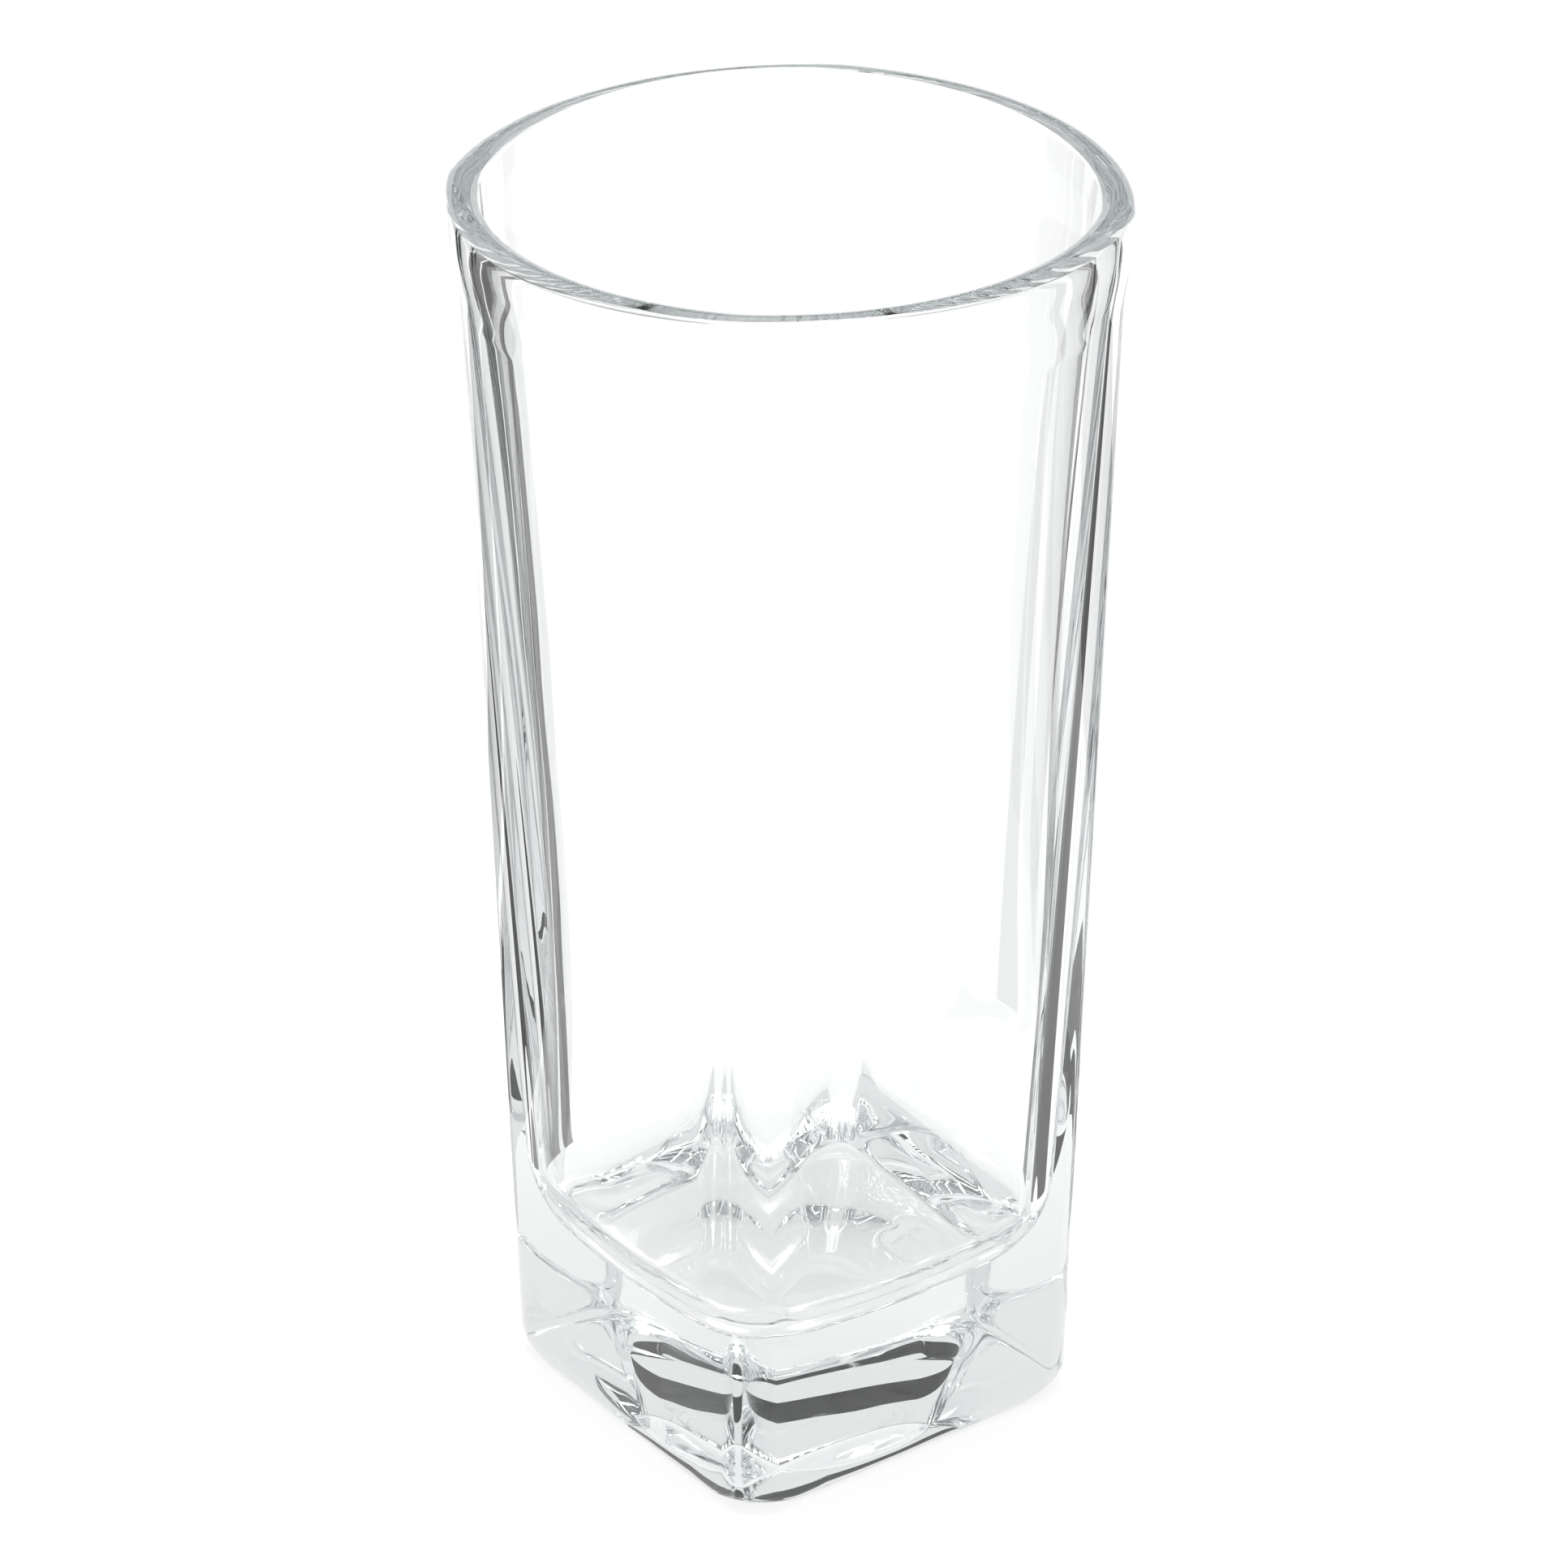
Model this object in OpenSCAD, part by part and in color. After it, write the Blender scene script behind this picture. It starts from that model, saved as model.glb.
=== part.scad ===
// Highball glass, pressed in one piece: a square foot whose flat sides bow out, level by level,
// into a nearly round rim, with a thick solid base and a cavity whose corners are much rounder
// than the outside, so that a thick column of glass stands in each corner.
// All sizes are in millimetres. The origin is the middle of the standing face, with +Z up
// and the four sides facing X and Y.

/* [Rim] */
// Height from the table to the top of the rim
height = 141; // [120:1:165]
// Width of the rim across its soft corners
rim_corner_w = 70; // [69:0.5:76]
// Width of the rim across the middles of its sides
rim_side_w = 68; // [66:0.5:68.5]
// Thickness of the wall at the rim
rim_wall = 3; // [2:0.1:3.6]
// Height of the rounding on top of the rim
rim_crown = 1; // [0.4:0.1:1.5]
// Height of the lip, from the neck to the rounding of the rim
lip_h = 10.5; // [7:0.5:20]
// Height of the upright band at the top of the lip
band_h = 3.5; // [1:0.5:6]

/* [Body] */
// Width across the flat sides at the foot
foot_w = 45.6; // [43:0.1:48]
// Width across the middles of the bowed sides, just under the lip
neck_side_w = 65.3; // [60:0.1:67]
// Width across the corners, just under the lip
neck_corner_w = 68.2; // [66.5:0.1:69]
// Radius of the four upright corner edges
edge_r = 4.5; // [3:0.1:7]

/* [Foot] */
// Height of the rounding between the standing face and the sides
foot_round_h = 3.5; // [1:0.1:5]
// How far the standing face lies inside the flat sides
foot_inset = 0.9; // [0.3:0.1:2]
// Corner radius of the standing face
stand_corner_r = 10; // [7:0.1:12]
// Diameter of the shallow hollow under the base
hollow_d = 36; // [20:0.5:38]
// Depth of the hollow in its middle
hollow_depth = 1.5; // [0.5:0.1:3]

/* [Cavity] */
// Thickness of the solid base under the cavity floor
base_t = 18.5; // [12:0.5:26]
// Wall thickness in the middle of a side, below the lip
side_wall = 2.8; // [2:0.1:4]
// Corner radius of the cavity just above its floor
cavity_floor_r = 8.5; // [6:0.1:16]
// Corner radius of the cavity at the rim
cavity_rim_r = 15; // [10:0.5:24]
// Radius of the fillet between the cavity wall and its floor
floor_fillet = 7.5; // [3:0.1:10]

/* [Smoothness] */
// Straight steps along each side of a level
side_steps = 8; // [6:1:10]
// Straight steps round each corner of a level
corner_steps = 7; // [6:1:10]
// Levels in each straight stretch and in each rounding of the profile
round_steps = 5; // [4:1:7]

/* [Hidden] */
// Half widths at the foot, across the flat sides and across the corners
foot_side = foot_w / 2;
foot_corner = flat_corner(foot_side, edge_r);
// Height at which the rounding on top of the rim begins
rim_z = height - rim_crown;
neck_z = rim_z - lip_h;
fillet_z = base_t + floor_fillet;
// How much of the floor fillet's inward reach comes off the cavity's corner radius
corner_tightening = 0.5;

function mix(a, b, t) = a + (b - a) * t;

// A level is one horizontal outline, given as
// [height, half width across the sides, half width across the corners, corner radius].
// Half width across the corners of a level with flat sides
function flat_corner(side, radius) = (side - radius) * sqrt(2) + radius;

// Distance of a corner arc's centre from both middle planes
function arc_centre(l) = (l[2] - l[3]) / sqrt(2);

// Angle that half of a side turns through: nothing for a flat side, 45 degrees for a circle
function side_turn(l) =
    let (c = arc_centre(l))
    c < 0.001 ? 30 : max(0.001, 2 * atan((l[1] - c - l[3]) / c));

// Share of the way up the body, which is 0 at the foot and 1 at the neck
function body_share(z) = (z - foot_round_h) / (neck_z - foot_round_h);

// Share of the lip's bend, which is 0 at the neck and 1 all the way up the rim's band
function lip_share(z) =
    let (t = min(1, max(0, (z - neck_z) / (lip_h - band_h))))
    t * t * (3 - 2 * t);

// Half widths of the body's straight taper, before the lip bends them out
function taper_side(z) = mix(foot_side, neck_side_w / 2, body_share(z));
function taper_corner(z) = mix(foot_corner, neck_corner_w / 2, body_share(z));

// Level of the outside, between the foot rounding and the rim
function outside(z) = [
    z,
    taper_side(z) + lip_share(z) * (rim_side_w / 2 - taper_side(rim_z)),
    taper_corner(z) + lip_share(z) * (rim_corner_w / 2 - taper_corner(rim_z)),
    edge_r
];

// Level whose sides each turn through twice the given angle
function bowed_level(z, side, radius, turn) =
    let (centre = (side - radius) / (1 + tan(turn / 2)))
    [z, side, centre * sqrt(2) + radius, radius];

// Level of the cavity, whose sides bow as much as the outside does at that height
function cavity(z) =
    let (
        outer = outside(z),
        side = outer[1] - mix(side_wall, rim_wall, lip_share(z)),
        radius = mix(cavity_floor_r, cavity_rim_r, (z - fillet_z) / (rim_z - fillet_z))
    )
    bowed_level(z, side, radius, side_turn(outer));

// Hollow under the base: a shallow round bowl, from near its middle to its edge
hollow = [
    for (i = [1 : round_steps])
        let (t = i / round_steps, radius = hollow_d / 2 * t)
        [hollow_depth * (1 - t * t), radius, radius, radius]
];

// Rounding from the standing face up to the flat sides
foot = [
    for (i = [0 : round_steps])
        let (
            angle = 90 * i / round_steps,
            side = foot_side - foot_inset * (1 - sin(angle)),
            radius = mix(stand_corner_r, edge_r, sin(angle))
        )
        [foot_round_h * (1 - cos(angle)), side, flat_corner(side, radius), radius]
];

// Outside, from above the foot rounding to the neck and on to the rim
body = [for (i = [1 : round_steps]) outside(mix(foot_round_h, neck_z, i / round_steps))];
lip = [for (i = [1 : round_steps]) outside(mix(neck_z, rim_z, i / round_steps))];

// Rounded top of the rim, from outside to inside
rim = [
    for (i = [1 : 2 * round_steps - 1])
        let (angle = 90 * i / round_steps)
        mix(outside(rim_z), cavity(rim_z), (1 - cos(angle)) / 2) + [rim_crown * sin(angle), 0, 0, 0]
];

// Cavity wall, from the rim down to the floor fillet
inner_lip = [for (i = [0 : round_steps]) cavity(mix(rim_z, neck_z, i / round_steps))];
inner_wall = [for (i = [1 : round_steps]) cavity(mix(neck_z, fillet_z, i / round_steps))];

// Fillet from the cavity wall down to the floor, whose corners tighten half as fast as it shrinks
floor_round = [
    for (i = [1 : round_steps])
        let (
            wall = cavity(fillet_z),
            angle = 90 * i / round_steps,
            inward = floor_fillet * (1 - cos(angle)),
            radius = wall[3] - corner_tightening * inward
        )
        bowed_level(fillet_z - floor_fillet * sin(angle), wall[1] - inward, radius, side_turn(wall))
];

// The whole skin, from the middle of the hollow round the outside to the cavity floor
levels = concat(hollow, foot, body, lip, rim, inner_lip, inner_wall, floor_round);

// Point of a level's side that faces +X, and of the corner that follows it
function side_point(l, angle) =
    let (side_r = l[3] + arc_centre(l) / sin(side_turn(l)))
    [l[1] - side_r * (1 - cos(angle)), side_r * sin(angle)];
function corner_point(l, angle) =
    [arc_centre(l) + l[3] * cos(angle), arc_centre(l) + l[3] * sin(angle)];

// A quarter of a level: one side, then the inner points of one corner
function quarter(l) =
    let (turn = side_turn(l))
    concat(
        [for (i = [0 : side_steps]) side_point(l, mix(-turn, turn, i / side_steps))],
        [for (i = [1 : corner_steps - 1]) corner_point(l, mix(turn, 90 - turn, i / corner_steps))]
    );

// All points of a level, anticlockwise
function outline(l) = [
    for (turn = [0 : 90 : 270], p = quarter(l))
        [p[0] * cos(turn) - p[1] * sin(turn), p[0] * sin(turn) + p[1] * cos(turn), l[0]]
];

// Closed solid stretched over a list of levels, with a point in the middle of both ends
module skin(levels, first_z, last_z) {
    count = 4 * (side_steps + corner_steps);
    last = len(levels) - 1;
    rings = [for (l = levels) each outline(l)];
    start = len(rings);
    points = concat(rings, [[0, 0, first_z], [0, 0, last_z]]);
    bands = [
        for (j = [0 : last - 1], i = [0 : count - 1])
            let (k = (i + 1) % count)
            each [
                [j * count + i, (j + 1) * count + k, j * count + k],
                [j * count + i, (j + 1) * count + i, (j + 1) * count + k]
            ]
    ];
    first_cap = [for (i = [0 : count - 1]) [start, i, (i + 1) % count]];
    last_cap = [
        for (i = [0 : count - 1])
            [start + 1, last * count + (i + 1) % count, last * count + i]
    ];
    polyhedron(points, concat(bands, first_cap, last_cap), convexity = 6);
}

// The glass itself, one pressed piece
module tumbler() {
    color([0.86, 0.93, 0.94, 0.35])
        skin(levels, hollow_depth, base_t);
}

tumbler();
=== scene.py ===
import math
from collections import namedtuple

import bmesh
import bpy
from bpy.props import FloatProperty, FloatVectorProperty, IntProperty, PointerProperty
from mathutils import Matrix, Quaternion, Vector


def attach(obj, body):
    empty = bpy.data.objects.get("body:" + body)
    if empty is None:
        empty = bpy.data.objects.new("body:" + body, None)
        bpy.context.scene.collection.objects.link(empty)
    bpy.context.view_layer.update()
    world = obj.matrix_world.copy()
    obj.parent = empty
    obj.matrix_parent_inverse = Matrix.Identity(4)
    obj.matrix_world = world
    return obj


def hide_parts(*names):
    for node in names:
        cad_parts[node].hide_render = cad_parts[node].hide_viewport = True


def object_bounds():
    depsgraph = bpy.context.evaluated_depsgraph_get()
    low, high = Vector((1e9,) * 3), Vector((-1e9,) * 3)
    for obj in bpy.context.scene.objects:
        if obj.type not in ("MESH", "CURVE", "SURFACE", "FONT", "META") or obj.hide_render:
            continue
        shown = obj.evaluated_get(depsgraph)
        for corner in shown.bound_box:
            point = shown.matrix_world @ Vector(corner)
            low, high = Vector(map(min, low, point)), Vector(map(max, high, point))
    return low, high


bl_info = {
    "name": "Highball glass",
    "version": (1, 0, 0),
    "blender": (4, 5, 0),
    "location": "3D View > Sidebar > Highball",
    "description": "Models a pressed highball glass and the studio that it is shown in",
    "category": "Add Mesh",
}

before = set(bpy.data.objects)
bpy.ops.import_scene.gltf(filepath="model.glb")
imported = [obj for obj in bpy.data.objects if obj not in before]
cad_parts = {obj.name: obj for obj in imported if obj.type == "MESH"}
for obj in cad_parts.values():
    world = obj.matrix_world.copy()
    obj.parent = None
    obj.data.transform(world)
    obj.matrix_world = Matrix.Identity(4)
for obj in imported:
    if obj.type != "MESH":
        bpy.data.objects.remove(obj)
CAD_LOW, CAD_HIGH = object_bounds()

PIECE_NAME = "tumbler_glass"
PLACE_LAYER = "place_on_ring"
# How much of the floor fillet's inward reach comes off the cavity's corner radius
CORNER_TIGHTENING = 0.5
# Turn of half a side that counts as flat, and the one given to a level that is a circle
FLAT_TURN = math.radians(0.001)
CIRCLE_TURN = math.radians(30)
# Distance from the axis below which the centre of a corner arc lies on it
ON_AXIS = 1e-6

WHITE = (1, 1, 1, 1)
PAPER = (0.9, 0.9, 0.9, 1)
ROOM = (0.9, 0.9, 0.9, 1)
# Faint tint of the surface, which fades to white where the smears lie
FAINT_TINT = (0.97, 0.985, 0.98, 1)
# Part of the smear noise that shows: where a smear begins and where it is densest
SMEAR_BEGINS = 0.55
SMEAR_DENSEST = 0.8
SMEAR_DETAIL = 4
RIPPLE_DETAIL = 1
# The ripple is drawn out upwards, the way that the plunger moves
RIPPLE_SQUEEZE = (1.0, 1.0, 0.4)

PHOTO_SIDE_PX = 1932
# Where the photograph shows the point that the camera looks at
AIM_PX = Vector((973.8, 974.0))
SENSOR_W = 36
CLIP_START = 0.01
# How often light may bend or bounce, which thick clear glass needs many times
LIGHT_BOUNCES = 40

# One horizontal outline of the glass: its height, its half width across the sides, its half
# width across the corners, and the radius of its corners.
Level = namedtuple("Level", "z side corner radius")

# A glowing sheet that lies on the floor round the glass: painted shade that only the glass shows. The
# glass bends it into its lines, the eye never sees it, and it throws no shadow. It has a brightness
# and the distances from the glass of its near and far edges, each with the azimuths at which that edge
# starts and ends, in degrees from straight away from the camera towards the right.
Card = namedtuple("Card", "name value near near_span far far_span")
SHADE_CARDS = (
    Card("shade_card_left_outer", value=0.15, near=0.05, near_span=(-66, -50), far=0.6, far_span=(-66, -43)),
    Card("shade_card_left_inner", value=0.05, near=0.05, near_span=(-46, -38), far=0.6, far_span=(-42, -29)),
    Card("card_right", value=0.1, near=0.055, near_span=(48, 72), far=0.6, far_span=(42, 62)),
    Card("shade_card_right_faint", value=0.9, near=0.09, near_span=(25, 30), far=0.45, far_span=(19, 22)),
)


class HighballTumblerSizes(bpy.types.PropertyGroup):
    """Sizes of the glass"""

    height: FloatProperty(
        name="Height", description="From the table to the top of the rim",
        default=CAD_HIGH.z - CAD_LOW.z, unit="LENGTH")
    rim_side_w: FloatProperty(
        name="Rim across sides", description="Width of the rim across the middles of its sides",
        default=CAD_HIGH.x - CAD_LOW.x, unit="LENGTH")
    rim_corner_w: FloatProperty(
        name="Rim across corners", description="Width of the rim across its soft corners",
        default=0.070, unit="LENGTH")
    rim_wall: FloatProperty(
        name="Rim wall", description="Thickness of the wall at the rim",
        default=0.003, unit="LENGTH")
    rim_crown: FloatProperty(
        name="Rim crown", description="Height of the rounding on top of the rim",
        default=0.001, unit="LENGTH")
    lip_h: FloatProperty(
        name="Lip height", description="Height of the lip, from the neck to the rim's crown",
        default=0.0105, unit="LENGTH")
    band_h: FloatProperty(
        name="Rim band", description="Height of the upright band at the top of the lip",
        default=0.0035, unit="LENGTH")
    foot_w: FloatProperty(
        name="Foot width", description="Width across the flat sides at the foot",
        default=0.0456, unit="LENGTH")
    neck_side_w: FloatProperty(
        name="Neck across sides", description="Width across the bowed sides, just under the lip",
        default=0.0653, unit="LENGTH")
    neck_corner_w: FloatProperty(
        name="Neck across corners", description="Width across the corners, just under the lip",
        default=0.0682, unit="LENGTH")
    edge_r: FloatProperty(
        name="Edge radius", description="Radius of the four upright corner edges",
        default=0.0045, unit="LENGTH")
    foot_round_h: FloatProperty(
        name="Foot rounding", description="Height of the rounding above the standing face",
        default=0.0035, unit="LENGTH")
    foot_inset: FloatProperty(
        name="Foot inset", description="How far the standing face lies inside the flat sides",
        default=0.0009, unit="LENGTH")
    stand_corner_r: FloatProperty(
        name="Standing corner radius", description="Corner radius of the standing face",
        default=0.010, unit="LENGTH")
    hollow_d: FloatProperty(
        name="Hollow diameter", description="Diameter of the shallow hollow under the base",
        default=0.036, unit="LENGTH")
    hollow_depth: FloatProperty(
        name="Hollow depth", description="Depth of the hollow in its middle",
        default=0.0015, unit="LENGTH")
    base_t: FloatProperty(
        name="Base thickness", description="Solid glass under the cavity floor",
        default=0.0185, unit="LENGTH")
    side_wall: FloatProperty(
        name="Side wall", description="Wall thickness in the middle of a side, below the lip",
        default=0.0028, unit="LENGTH")
    cavity_floor_r: FloatProperty(
        name="Cavity corner, floor", description="Corner radius of the cavity above its floor",
        default=0.0085, unit="LENGTH")
    cavity_rim_r: FloatProperty(
        name="Cavity corner, rim", description="Corner radius of the cavity at the rim",
        default=0.015, unit="LENGTH")
    floor_fillet: FloatProperty(
        name="Floor fillet", description="Radius between the cavity wall and its floor",
        default=0.0075, unit="LENGTH")
    side_steps: IntProperty(
        name="Side steps", description="Mesh steps along each side of a level", default=44)
    corner_steps: IntProperty(
        name="Corner steps", description="Mesh steps round each corner of a level", default=22)
    wall_steps: IntProperty(
        name="Wall steps", description="Levels in the body and in the cavity wall", default=24)
    round_steps: IntProperty(
        name="Rounding steps", description="Levels in each rounding of the profile", default=12)


class HighballGlassLook(bpy.types.PropertyGroup):
    """Finish of the glass"""

    tint: FloatVectorProperty(
        name="Tint", description="Colour that is left of white light deep inside the glass",
        subtype="COLOR", default=(0.717, 0.745, 0.752), min=0, max=1)
    tint_density: FloatProperty(
        name="Tint density", description="How strongly the glass tints light, per metre", default=10)
    ior: FloatProperty(
        name="Refraction", description="Index of refraction of soda-lime glass", default=1.52)
    ripple_height: FloatProperty(
        name="Ripple height", description="Height of the slow ripple that a mould leaves",
        default=0.00005, unit="LENGTH")
    ripple_scale: FloatProperty(
        name="Ripple scale", description="How close together the ripples lie", default=70)
    smear_scale: FloatProperty(
        name="Smear scale", description="How close together the smears of handling lie", default=45)
    smear_roughness: FloatProperty(
        name="Smear roughness", description="Roughness of the glass where a smear is densest",
        subtype="FACTOR", default=0.02)


class HighballStageSizes(bpy.types.PropertyGroup):
    """Floor, light and camera"""

    floor_w: FloatProperty(
        name="Floor width", description="Width of the pale floor", default=6, unit="LENGTH")
    floor_gap: FloatProperty(
        name="Floor gap", description="Air under the standing face, so that the two never touch",
        default=0.0002, unit="LENGTH")
    shadow_share: FloatProperty(
        name="Shadow share", description="Share of the floor's look that takes shadows",
        subtype="FACTOR", default=0.2)
    softbox_w: FloatProperty(
        name="Softbox width", description="Width of the square lamp overhead",
        default=0.7, unit="LENGTH")
    softbox_z: FloatProperty(
        name="Softbox height", description="Height of the lamp above the floor",
        default=1.1, unit="LENGTH")
    softbox_power: FloatProperty(
        name="Softbox power", description="Power of the lamp", default=12, unit="POWER")
    back_card_value: FloatProperty(
        name="Back card", description="Brightness of the dark card that stands behind the glass",
        subtype="FACTOR", default=0.03)
    back_card_away: FloatProperty(
        name="Back card distance", description="From the glass to the card behind it",
        default=1.0, unit="LENGTH")
    back_card_low: FloatProperty(
        name="Back card bottom", description="Height of its lower edge",
        default=0.42, unit="LENGTH")
    back_card_high: FloatProperty(
        name="Back card top", description="Height of its upper edge",
        default=0.78, unit="LENGTH")
    back_card_w: FloatProperty(
        name="Back card width", description="Width of the card", default=2.4, unit="LENGTH")
    camera_azimuth: FloatProperty(
        name="Camera azimuth", description="Turn of the camera round the glass",
        default=math.radians(53.6), subtype="ANGLE", unit="ROTATION")
    camera_elevation: FloatProperty(
        name="Camera elevation", description="Angle of the camera above the horizon",
        default=math.radians(27.95), subtype="ANGLE", unit="ROTATION")
    camera_roll: FloatProperty(
        name="Camera roll", description="Turn of the camera about its own line of sight",
        default=math.radians(0.107), subtype="ANGLE", unit="ROTATION")
    camera_distance: FloatProperty(
        name="Camera distance", description="From the camera to the point that it looks at",
        default=0.657, unit="LENGTH")
    camera_aim_z: FloatProperty(
        name="Camera aim", description="Height of the point that the camera looks at",
        default=0.072, unit="LENGTH")
    camera_lens: FloatProperty(
        name="Lens", description="Focal length on a 36 mm sensor", default=142.39, unit="CAMERA")


def mix(a, b, t):
    return a + (b - a) * t


def mix_levels(a, b, t):
    return Level(*(mix(x, y, t) for x, y in zip(a, b)))


def flat_corner(side, radius):
    """Half width across the corners of a level with flat sides."""
    return (side - radius) * math.sqrt(2) + radius


def arc_centre(level):
    """Distance of a corner arc's centre from both middle planes."""
    return (level.corner - level.radius) / math.sqrt(2)


def side_turn(level):
    """Angle that half of a side turns through: none for a flat side, 45 degrees for a circle."""
    centre = arc_centre(level)
    if centre < ON_AXIS:
        return CIRCLE_TURN
    return max(FLAT_TURN, 2 * math.atan((level.side - centre - level.radius) / centre))


def bowed_level(z, side, radius, turn):
    """Level whose sides each turn through twice the given angle."""
    centre = (side - radius) / (1 + math.tan(turn / 2))
    return Level(z, side, centre * math.sqrt(2) + radius, radius)


def outline(level, side_steps, corner_steps):
    """Points of a level, anticlockwise, from the side that faces +X."""
    centre, turn = arc_centre(level), side_turn(level)
    side_r = level.radius + centre / math.sin(turn)
    quarter = []
    for i in range(side_steps + 1):
        angle = mix(-turn, turn, i / side_steps)
        quarter.append((level.side - side_r * (1 - math.cos(angle)), side_r * math.sin(angle)))
    for i in range(1, corner_steps):
        angle = mix(turn, math.pi / 2 - turn, i / corner_steps)
        quarter.append((centre + level.radius * math.cos(angle),
                        centre + level.radius * math.sin(angle)))
    quarters = [quarter]
    for _ in range(3):
        quarters.append([(-y, x) for x, y in quarters[-1]])
    return [Vector((x, y, level.z)) for points in quarters for x, y in points]


class TumblerProfile:
    """Levels of the glass, from the middle of its underside round to the cavity floor."""

    def __init__(self, sizes):
        self.sizes = sizes
        self.rim_z = sizes.height - sizes.rim_crown
        self.neck_z = self.rim_z - sizes.lip_h
        self.fillet_z = sizes.base_t + sizes.floor_fillet
        self.foot_side = sizes.foot_w / 2
        self.foot_corner = flat_corner(self.foot_side, sizes.edge_r)

    def lip_share(self, z):
        """Share of the lip's bend: 0 at the neck, and 1 all the way up the rim's band."""
        share = (z - self.neck_z) / (self.sizes.lip_h - self.sizes.band_h)
        share = min(max(share, 0.0), 1.0)
        return share * share * (3 - 2 * share)

    def taper(self, z):
        """Half widths of the body's straight taper, before the lip bends them out."""
        s = self.sizes
        share = (z - s.foot_round_h) / (self.neck_z - s.foot_round_h)
        return (mix(self.foot_side, s.neck_side_w / 2, share),
                mix(self.foot_corner, s.neck_corner_w / 2, share))

    def outside(self, z):
        """Level of the outside, between the foot rounding and the rim."""
        s = self.sizes
        side, corner = self.taper(z)
        rim_side, rim_corner = self.taper(self.rim_z)
        lip = self.lip_share(z)
        return Level(z, side + lip * (s.rim_side_w / 2 - rim_side),
                     corner + lip * (s.rim_corner_w / 2 - rim_corner), s.edge_r)

    def cavity(self, z):
        """Level of the cavity, whose sides bow as much as the outside does there."""
        s = self.sizes
        outer = self.outside(z)
        side = outer.side - mix(s.side_wall, s.rim_wall, self.lip_share(z))
        share = (z - self.fillet_z) / (self.rim_z - self.fillet_z)
        radius = mix(s.cavity_floor_r, s.cavity_rim_r, share)
        return bowed_level(z, side, radius, side_turn(outer))

    def hollow(self):
        """Shallow round bowl under the base, from near its middle to its edge."""
        s = self.sizes
        for i in range(1, s.round_steps + 1):
            share = i / s.round_steps
            radius = s.hollow_d / 2 * share
            yield Level(s.hollow_depth * (1 - share ** 2), radius, radius, radius)

    def foot(self):
        """Rounding from the standing face up to the flat sides."""
        s = self.sizes
        for i in range(s.round_steps + 1):
            angle = math.pi / 2 * i / s.round_steps
            side = self.foot_side - s.foot_inset * (1 - math.sin(angle))
            radius = mix(s.stand_corner_r, s.edge_r, math.sin(angle))
            yield Level(s.foot_round_h * (1 - math.cos(angle)), side,
                        flat_corner(side, radius), radius)

    def body(self):
        """Outside, from above the foot rounding to the neck and on to the rim."""
        s = self.sizes
        for i in range(1, s.wall_steps + 1):
            yield self.outside(mix(s.foot_round_h, self.neck_z, i / s.wall_steps))
        for i in range(1, s.round_steps + 1):
            yield self.outside(mix(self.neck_z, self.rim_z, i / s.round_steps))

    def rim(self):
        """Rounded top of the rim, from outside to inside."""
        steps = 2 * self.sizes.round_steps
        outer, inner = self.outside(self.rim_z), self.cavity(self.rim_z)
        for i in range(1, steps):
            angle = math.pi * i / steps
            level = mix_levels(outer, inner, (1 - math.cos(angle)) / 2)
            yield level._replace(z=self.rim_z + self.sizes.rim_crown * math.sin(angle))

    def cavity_wall(self):
        """Inside of the wall, from the rim down to the floor fillet."""
        s = self.sizes
        for i in range(s.round_steps + 1):
            yield self.cavity(mix(self.rim_z, self.neck_z, i / s.round_steps))
        for i in range(1, s.wall_steps + 1):
            yield self.cavity(mix(self.neck_z, self.fillet_z, i / s.wall_steps))

    def cavity_floor(self):
        """Fillet at the foot of the cavity wall, and rings that shrink over the floor."""
        s = self.sizes
        wall = self.cavity(self.fillet_z)
        for i in range(1, s.round_steps + 1):
            angle = math.pi / 2 * i / s.round_steps
            inward = s.floor_fillet * (1 - math.cos(angle))
            edge = bowed_level(wall.z - s.floor_fillet * math.sin(angle), wall.side - inward,
                               wall.radius - CORNER_TIGHTENING * inward, side_turn(wall))
            yield edge
        for i in range(1, s.round_steps):
            share = 1 - i / s.round_steps
            yield Level(edge.z, edge.side * share, edge.corner * share, edge.radius * share)

    def levels(self):
        """Every level of the skin, in order."""
        for part in (self.hollow, self.foot, self.body, self.rim, self.cavity_wall,
                     self.cavity_floor):
            yield from part()


def shape_ring(mesh, points):
    """Moves the selected ring of vertices to the points of a level."""
    edit = bmesh.from_edit_mesh(mesh)
    place = edit.verts.layers.int[PLACE_LAYER]
    for vertex in edit.verts:
        if vertex.select:
            vertex.co = points[vertex[place]]
    bmesh.update_edit_mesh(mesh)


def number_ring(mesh):
    """Numbers the vertices of the first ring, and what is extruded from it keeps the numbers."""
    edit = bmesh.from_edit_mesh(mesh)
    place = edit.verts.layers.int.new(PLACE_LAYER)
    for number, vertex in enumerate(edit.verts):
        vertex[place] = number
    bmesh.update_edit_mesh(mesh)


def new_material(name):
    """Empty node material, with its nodes and links."""
    material = bpy.data.materials.new(name)
    material.use_nodes = True
    material.node_tree.nodes.clear()
    return material, material.node_tree.nodes, material.node_tree.links


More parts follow.
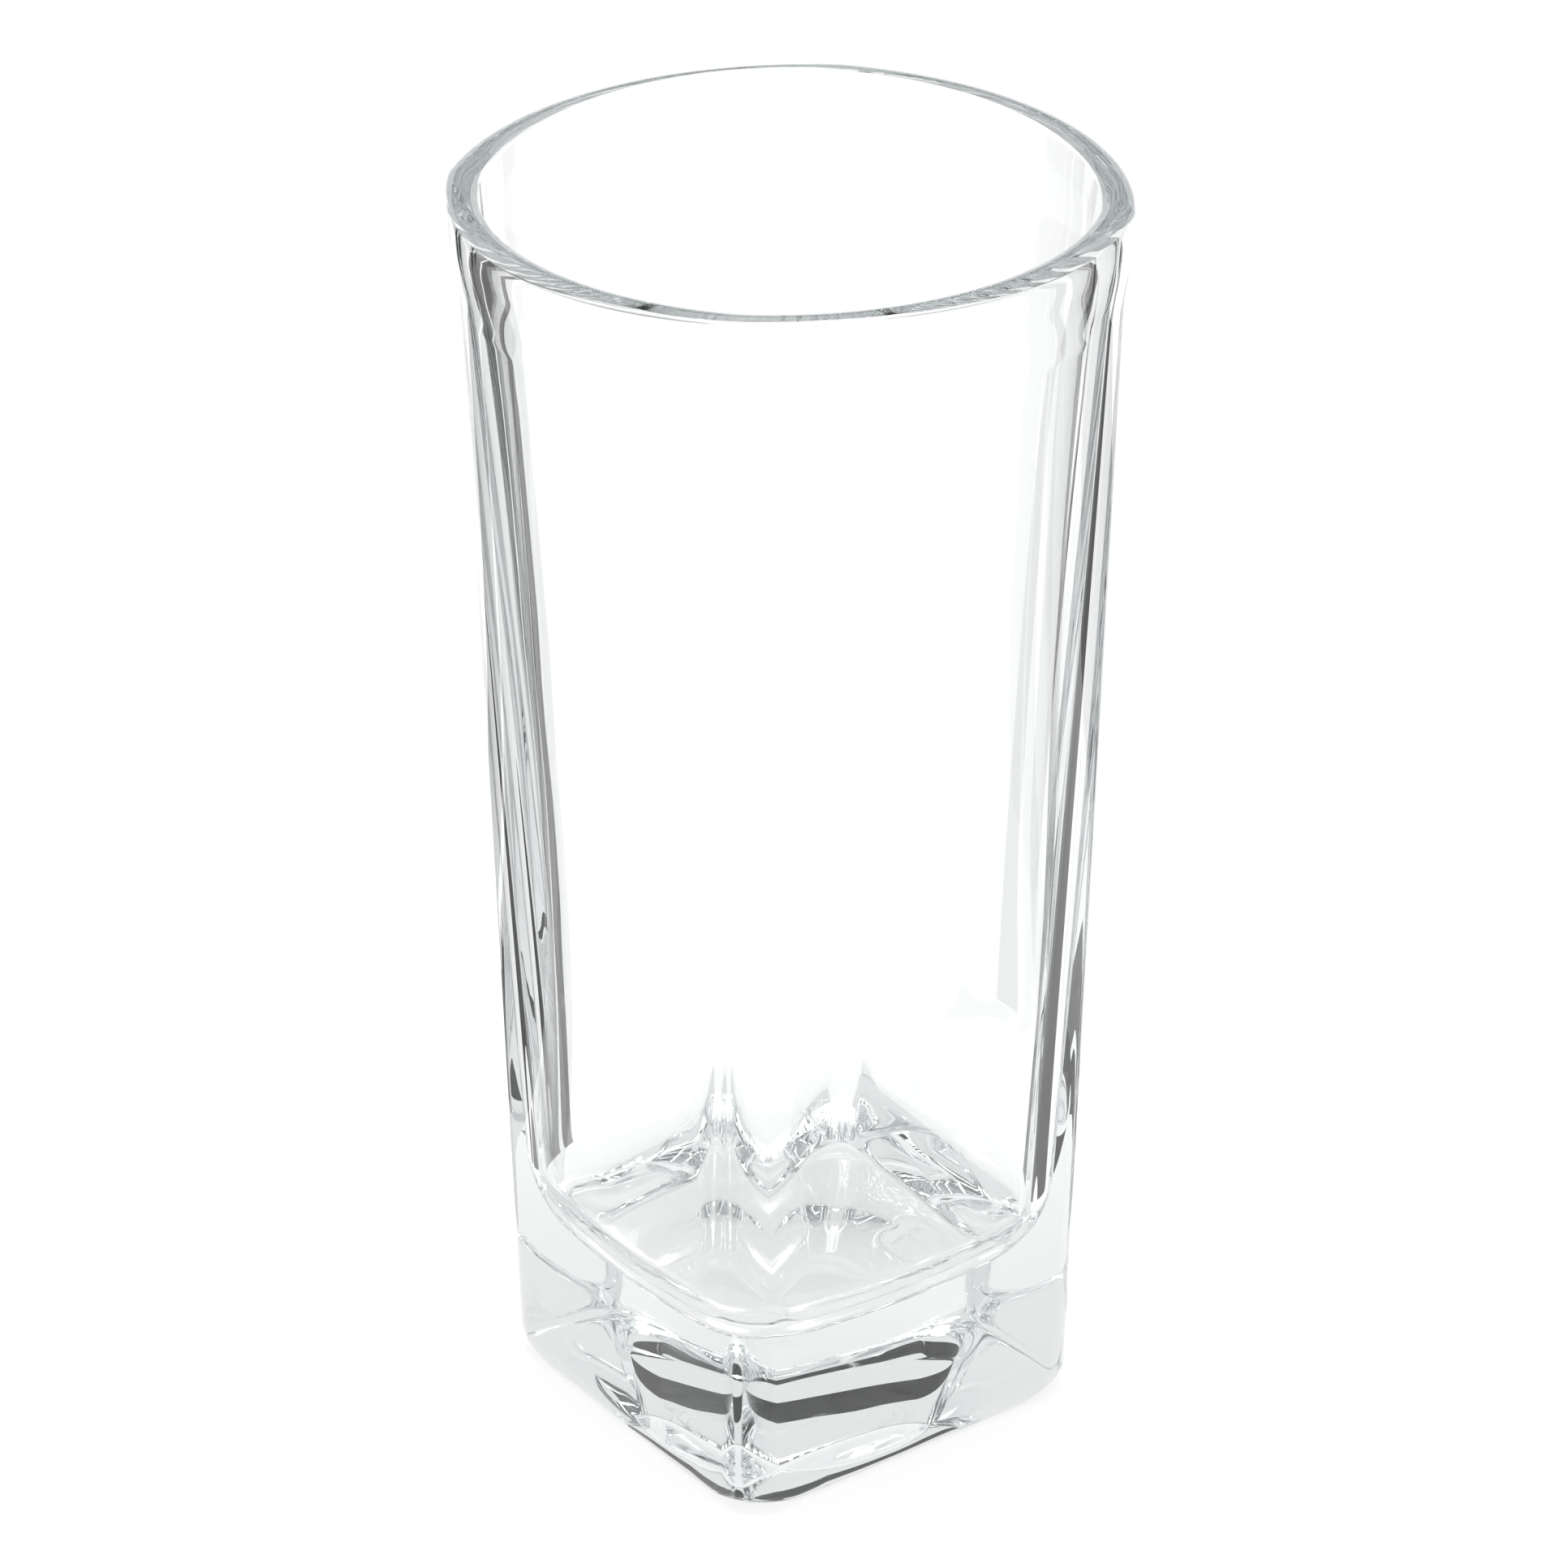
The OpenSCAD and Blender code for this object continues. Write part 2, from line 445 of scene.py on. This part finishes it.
def pressed_ripple_group(look):
    """Slow ripple that a mould leaves in pressed glass, and the faint smears of handling."""
    group = bpy.data.node_groups.new("pressed ripple", "ShaderNodeTree")
    group.interface.new_socket("Ripple", in_out="OUTPUT", socket_type="NodeSocketFloat")
    group.interface.new_socket("Smear", in_out="OUTPUT", socket_type="NodeSocketFloat")
    nodes, links = group.nodes, group.links
    place = nodes.new("ShaderNodeTexCoord")
    squeeze = nodes.new("ShaderNodeMapping")
    squeeze.inputs["Scale"].default_value = RIPPLE_SQUEEZE
    ripple = nodes.new("ShaderNodeTexNoise")
    ripple.inputs["Scale"].default_value = look.ripple_scale
    ripple.inputs["Detail"].default_value = RIPPLE_DETAIL
    smear = nodes.new("ShaderNodeTexNoise")
    smear.inputs["Scale"].default_value = look.smear_scale
    smear.inputs["Detail"].default_value = SMEAR_DETAIL
    output = nodes.new("NodeGroupOutput")
    links.new(place.outputs["Object"], squeeze.inputs["Vector"])
    links.new(squeeze.outputs["Vector"], ripple.inputs["Vector"])
    links.new(place.outputs["Object"], smear.inputs["Vector"])
    links.new(ripple.outputs["Fac"], output.inputs["Ripple"])
    links.new(smear.outputs["Fac"], output.inputs["Smear"])
    return group


def clear_glass(look):
    """Clear pressed soda-lime glass, faintly green in its thick places."""
    material, nodes, links = new_material("clear glass")
    pressed = nodes.new("ShaderNodeGroup")
    pressed.node_tree = pressed_ripple_group(look)
    glass = nodes.new("ShaderNodeBsdfPrincipled")
    glass.inputs["Transmission Weight"].default_value = 1
    glass.inputs["Metallic"].default_value = 0
    glass.inputs["IOR"].default_value = look.ior
    clean = nodes.new("ShaderNodeValToRGB")
    clean.color_ramp.elements[0].color = FAINT_TINT
    clean.color_ramp.elements[1].color = WHITE
    links.new(pressed.outputs["Smear"], clean.inputs["Fac"])
    links.new(clean.outputs["Color"], glass.inputs["Base Color"])
    polish = nodes.new("ShaderNodeMapRange")
    polish.inputs["From Min"].default_value = SMEAR_BEGINS
    polish.inputs["From Max"].default_value = SMEAR_DENSEST
    polish.inputs["To Min"].default_value = 0
    polish.inputs["To Max"].default_value = look.smear_roughness
    links.new(pressed.outputs["Smear"], polish.inputs["Value"])
    links.new(polish.outputs["Result"], glass.inputs["Roughness"])
    bump = nodes.new("ShaderNodeBump")
    bump.inputs["Strength"].default_value = 1
    bump.inputs["Distance"].default_value = look.ripple_height
    links.new(pressed.outputs["Ripple"], bump.inputs["Height"])
    links.new(bump.outputs["Normal"], glass.inputs["Normal"])
    depth = nodes.new("ShaderNodeVolumeAbsorption")
    depth.inputs["Color"].default_value = (*look.tint, 1)
    depth.inputs["Density"].default_value = look.tint_density
    output = nodes.new("ShaderNodeOutputMaterial")
    links.new(glass.outputs["BSDF"], output.inputs["Surface"])
    links.new(depth.outputs["Volume"], output.inputs["Volume"])
    return material


class HIGHBALL_OT_press_tumbler(bpy.types.Operator):
    """Press the glass: extrude one ring of edges, level by level, round the whole profile"""

    bl_idname = "highball.press_tumbler"
    bl_label = "Press tumbler"
    bl_options = {"REGISTER", "UNDO"}

    def execute(self, context):
        sizes = context.scene.highball_tumbler
        rings = [outline(level, sizes.side_steps, sizes.corner_steps)
                 for level in TumblerProfile(sizes).levels()]
        bpy.ops.object.select_all(action="DESELECT")
        bpy.ops.mesh.primitive_circle_add(
            vertices=len(rings[0]), radius=sizes.hollow_d / 2, location=(0, 0, 0))
        glass = context.active_object
        glass.name = glass.data.name = PIECE_NAME
        bpy.ops.object.mode_set(mode="EDIT")
        number_ring(glass.data)
        shape_ring(glass.data, rings[0])
        for points in rings[1:]:
            bpy.ops.mesh.extrude_edges_indiv()
            shape_ring(glass.data, points)
        bpy.ops.mesh.select_all(action="DESELECT")
        bpy.ops.mesh.select_non_manifold()
        bpy.ops.mesh.merge(type="COLLAPSE")
        bpy.ops.mesh.select_all(action="SELECT")
        bpy.ops.mesh.normals_make_consistent(inside=False)
        bpy.ops.object.mode_set(mode="OBJECT")
        glass.data.attributes.remove(glass.data.attributes[PLACE_LAYER])
        bpy.ops.object.shade_smooth()
        glass.data.materials.append(clear_glass(context.scene.highball_look))
        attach(glass, "root")
        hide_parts("tumbler")
        return {"FINISHED"}


def pale_floor(shadow_share):
    """White paper: as bright as the background to the eye and in the glass, with soft shadows."""
    material, nodes, links = new_material("pale floor")
    paper = nodes.new("ShaderNodeBsdfDiffuse")
    paper.inputs["Color"].default_value = PAPER
    glow = nodes.new("ShaderNodeEmission")
    glow.inputs["Color"].default_value = WHITE
    path = nodes.new("ShaderNodeLightPath")
    seen = nodes.new("ShaderNodeMath")
    seen.operation = "ADD"
    seen_in_glass = nodes.new("ShaderNodeMath")
    seen_in_glass.operation = "ADD"
    seen_in_glass.use_clamp = True
    share = nodes.new("ShaderNodeMath")
    share.operation = "MULTIPLY"
    share.inputs[1].default_value = 1 - shadow_share
    blend = nodes.new("ShaderNodeMixShader")
    output = nodes.new("ShaderNodeOutputMaterial")
    links.new(path.outputs["Is Camera Ray"], seen.inputs[0])
    links.new(path.outputs["Is Glossy Ray"], seen.inputs[1])
    links.new(seen.outputs[0], seen_in_glass.inputs[0])
    links.new(path.outputs["Is Transmission Ray"], seen_in_glass.inputs[1])
    links.new(seen_in_glass.outputs[0], share.inputs[0])
    links.new(share.outputs[0], blend.inputs["Fac"])
    links.new(paper.outputs["BSDF"], blend.inputs[1])
    links.new(glow.outputs["Emission"], blend.inputs[2])
    links.new(blend.outputs["Shader"], output.inputs["Surface"])
    return material


def studio_world():
    """Plain pale room."""
    world = bpy.data.worlds.new("studio")
    world.use_nodes = True
    nodes, links = world.node_tree.nodes, world.node_tree.links
    nodes.clear()
    light = nodes.new("ShaderNodeBackground")
    light.inputs["Color"].default_value = ROOM
    output = nodes.new("ShaderNodeOutputWorld")
    links.new(light.outputs["Background"], output.inputs["Surface"])
    return world


def glowing_card_sheet(name, value):
    """Sheet that glows at one brightness, whatever the light on it; on the cards that lie on the floor
    this is painted shade that only the glass shows.
    """
    material, nodes, links = new_material(name)
    glow = nodes.new("ShaderNodeEmission")
    glow.inputs["Color"].default_value = (value, value, value, 1)
    output = nodes.new("ShaderNodeOutputMaterial")
    links.new(glow.outputs["Emission"], output.inputs["Surface"])
    return material


def add_card(context, name, value, location, rotation):
    """Adds a square card that only the glass sees."""
    bpy.ops.mesh.primitive_plane_add(size=1, location=location, rotation=rotation)
    card = context.active_object
    card.name = name
    card.data.materials.append(glowing_card_sheet(name, value))
    card.visible_camera = False
    card.visible_diffuse = False
    card.visible_shadow = False
    return card


def lay_shade_card(context, stage, card):
    """Lays a glowing sheet of painted shade on the floor round the glass, where only the glass shows
    it.
    """
    height = -stage.floor_gap / 2
    sheet = add_card(context, card.name, card.value, (0, 0, height), (0, 0, stage.camera_azimuth))
    corners = [(card.near, azimuth) for azimuth in card.near_span]
    corners += [(card.far, azimuth) for azimuth in card.far_span]
    for vertex, (distance, azimuth) in zip(sheet.data.vertices, corners):
        turn = math.radians(azimuth)
        vertex.co = (distance * math.sin(turn), distance * math.cos(turn), 0)


def stand_card(context, stage):
    """Stands a dark card behind the glass, above the picture."""
    turn = stage.camera_azimuth
    middle_z = (stage.back_card_low + stage.back_card_high) / 2
    location = Quaternion((0, 0, 1), turn) @ Vector((0, stage.back_card_away, middle_z))
    card = add_card(context, "card_back", stage.back_card_value, location, (math.pi / 2, 0, turn))
    card.scale = (stage.back_card_w, stage.back_card_high - stage.back_card_low, 1)


def add_floor(context, stage):
    """Adds the pale floor, just below the standing face."""
    bpy.ops.mesh.primitive_plane_add(size=stage.floor_w, location=(0, 0, -stage.floor_gap))
    floor = context.active_object
    floor.name = "floor"
    floor.data.materials.append(pale_floor(stage.shadow_share))


def add_softbox(context, stage):
    """Hangs the soft lamp over the glass."""
    bpy.ops.object.light_add(type="AREA", location=(0, 0, stage.softbox_z))
    softbox = context.active_object
    softbox.name = "softbox"
    softbox.data.size = stage.softbox_w
    softbox.data.energy = stage.softbox_power


def add_camera(context, stage):
    """Adds the camera at the photograph's viewing angle, shifted to its framing."""
    azimuth, elevation = stage.camera_azimuth, stage.camera_elevation
    back = Vector((math.sin(azimuth) * math.cos(elevation),
                   -math.cos(azimuth) * math.cos(elevation), math.sin(elevation)))
    aim = Vector((0, 0, stage.camera_aim_z))
    bpy.ops.object.camera_add(location=aim + back * stage.camera_distance)
    camera = context.active_object
    camera.name = "photo_camera"
    camera.rotation_mode = "QUATERNION"
    level = (-back).to_track_quat("-Z", "Y")
    camera.rotation_quaternion = level @ Quaternion((0, 0, 1), -stage.camera_roll)
    camera.data.sensor_width = SENSOR_W
    camera.data.lens = stage.camera_lens
    middle_px = PHOTO_SIDE_PX / 2
    camera.data.shift_x = (middle_px - AIM_PX.x) / PHOTO_SIDE_PX
    camera.data.shift_y = (AIM_PX.y - middle_px) / PHOTO_SIDE_PX
    camera.data.clip_start = CLIP_START
    context.scene.camera = camera


class HIGHBALL_OT_set_stage(bpy.types.Operator):
    """Set the stage: a pale floor, soft light and the camera of the photograph"""

    bl_idname = "highball.set_stage"
    bl_label = "Set stage"
    bl_options = {"REGISTER", "UNDO"}

    def execute(self, context):
        stage = context.scene.highball_stage
        bpy.ops.object.select_all(action="DESELECT")
        add_floor(context, stage)
        add_softbox(context, stage)
        # Glowing sheets of painted shade on the floor, which only the glass shows
        for card in SHADE_CARDS:
            lay_shade_card(context, stage, card)
        stand_card(context, stage)
        add_camera(context, stage)
        scene = context.scene
        scene.world = studio_world()
        scene.view_settings.view_transform = "Standard"
        scene.cycles.max_bounces = LIGHT_BOUNCES
        scene.cycles.transmission_bounces = LIGHT_BOUNCES
        scene.cycles.glossy_bounces = LIGHT_BOUNCES
        return {"FINISHED"}


class HIGHBALL_PT_panel(bpy.types.Panel):
    """Sizes, finish and steps of the highball glass"""

    bl_idname = "HIGHBALL_PT_panel"
    bl_label = "Highball glass"
    bl_space_type = "VIEW_3D"
    bl_region_type = "UI"
    bl_category = "Highball"

    def draw(self, context):
        scene = context.scene
        for group in (scene.highball_tumbler, scene.highball_look, scene.highball_stage):
            box = self.layout.box()
            for name in group.__annotations__:
                box.prop(group, name)
        self.layout.operator(HIGHBALL_OT_press_tumbler.bl_idname)
        self.layout.operator(HIGHBALL_OT_set_stage.bl_idname)


CLASSES = (
    HighballTumblerSizes,
    HighballGlassLook,
    HighballStageSizes,
    HIGHBALL_OT_press_tumbler,
    HIGHBALL_OT_set_stage,
    HIGHBALL_PT_panel,
)


def register():
    for cls in CLASSES:
        bpy.utils.register_class(cls)
    bpy.types.Scene.highball_tumbler = PointerProperty(type=HighballTumblerSizes)
    bpy.types.Scene.highball_look = PointerProperty(type=HighballGlassLook)
    bpy.types.Scene.highball_stage = PointerProperty(type=HighballStageSizes)


def unregister():
    del bpy.types.Scene.highball_stage
    del bpy.types.Scene.highball_look
    del bpy.types.Scene.highball_tumbler
    for cls in reversed(CLASSES):
        bpy.utils.unregister_class(cls)


def main():
    register()
    bpy.ops.highball.press_tumbler()
    bpy.ops.highball.set_stage()


if __name__ == "__main__":
    main()
